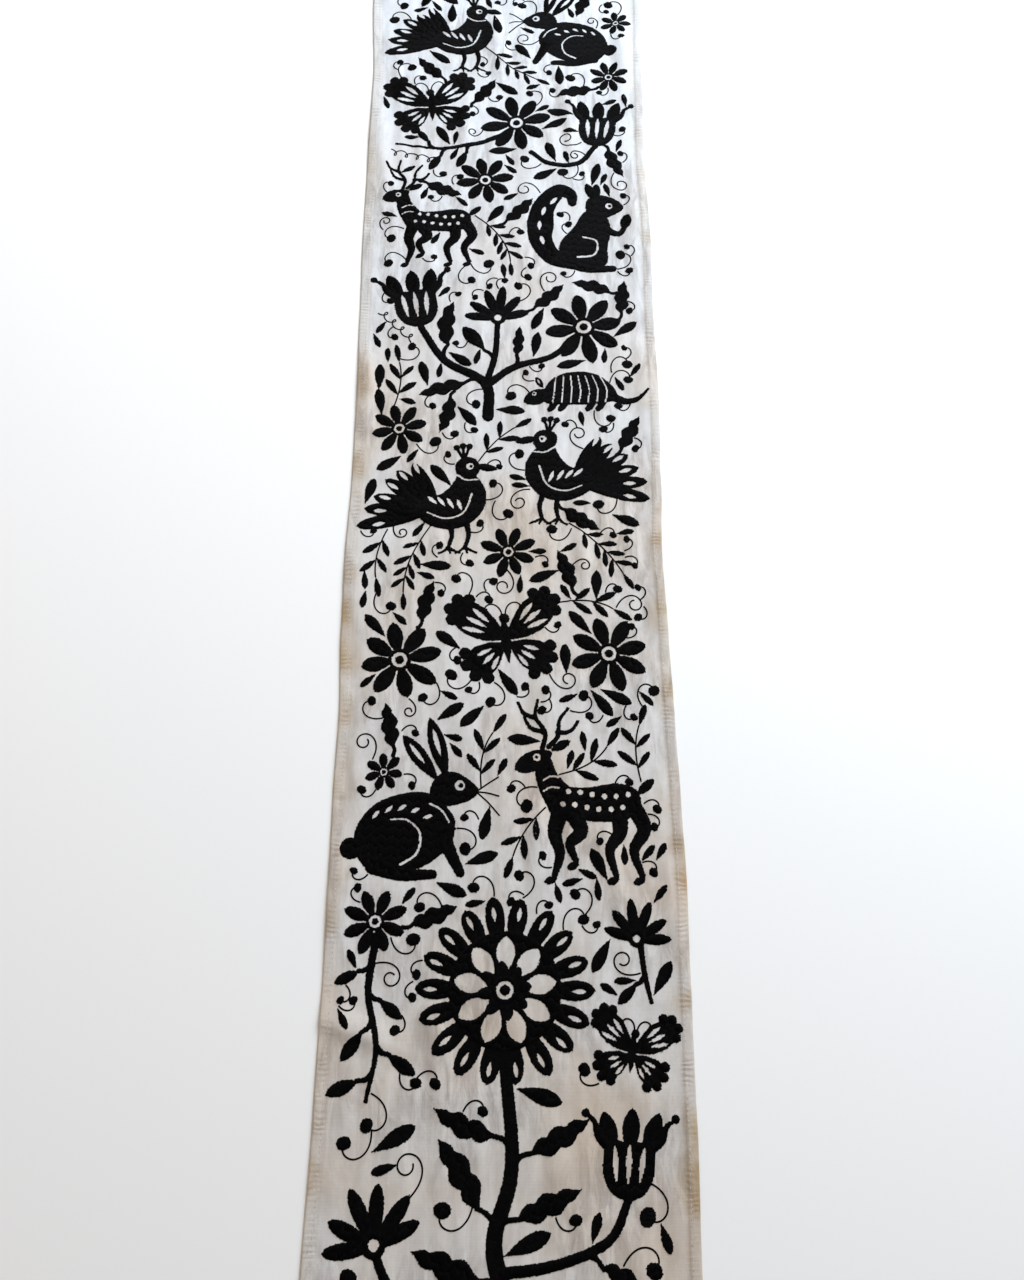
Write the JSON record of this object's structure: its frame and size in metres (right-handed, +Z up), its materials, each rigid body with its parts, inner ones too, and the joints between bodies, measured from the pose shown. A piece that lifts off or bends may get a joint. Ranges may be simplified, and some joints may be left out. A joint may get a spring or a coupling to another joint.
{
  "type": "otomi embroidered table runner",
  "caption": "Long narrow cotton cloth with a turned hem and dense black embroidery, laid flat along a table, chest or floor.",
  "frame": {"origin": "middle of the runner, on the surface that it lies on", "axes": "+Y along the runner's length, +X across it, +Z up, away from the surface"},
  "size_m": [0.414, 2, 0.0051],
  "materials": {
    "cotton_cloth": "matt plain weave, bleached white",
    "embroidery_thread": "black cotton floss with a soft sheen along the stitch"
  },
  "bodies": {
    "root": {"runner_cloth": "cotton_cloth"}
  },
  "joints": []
}
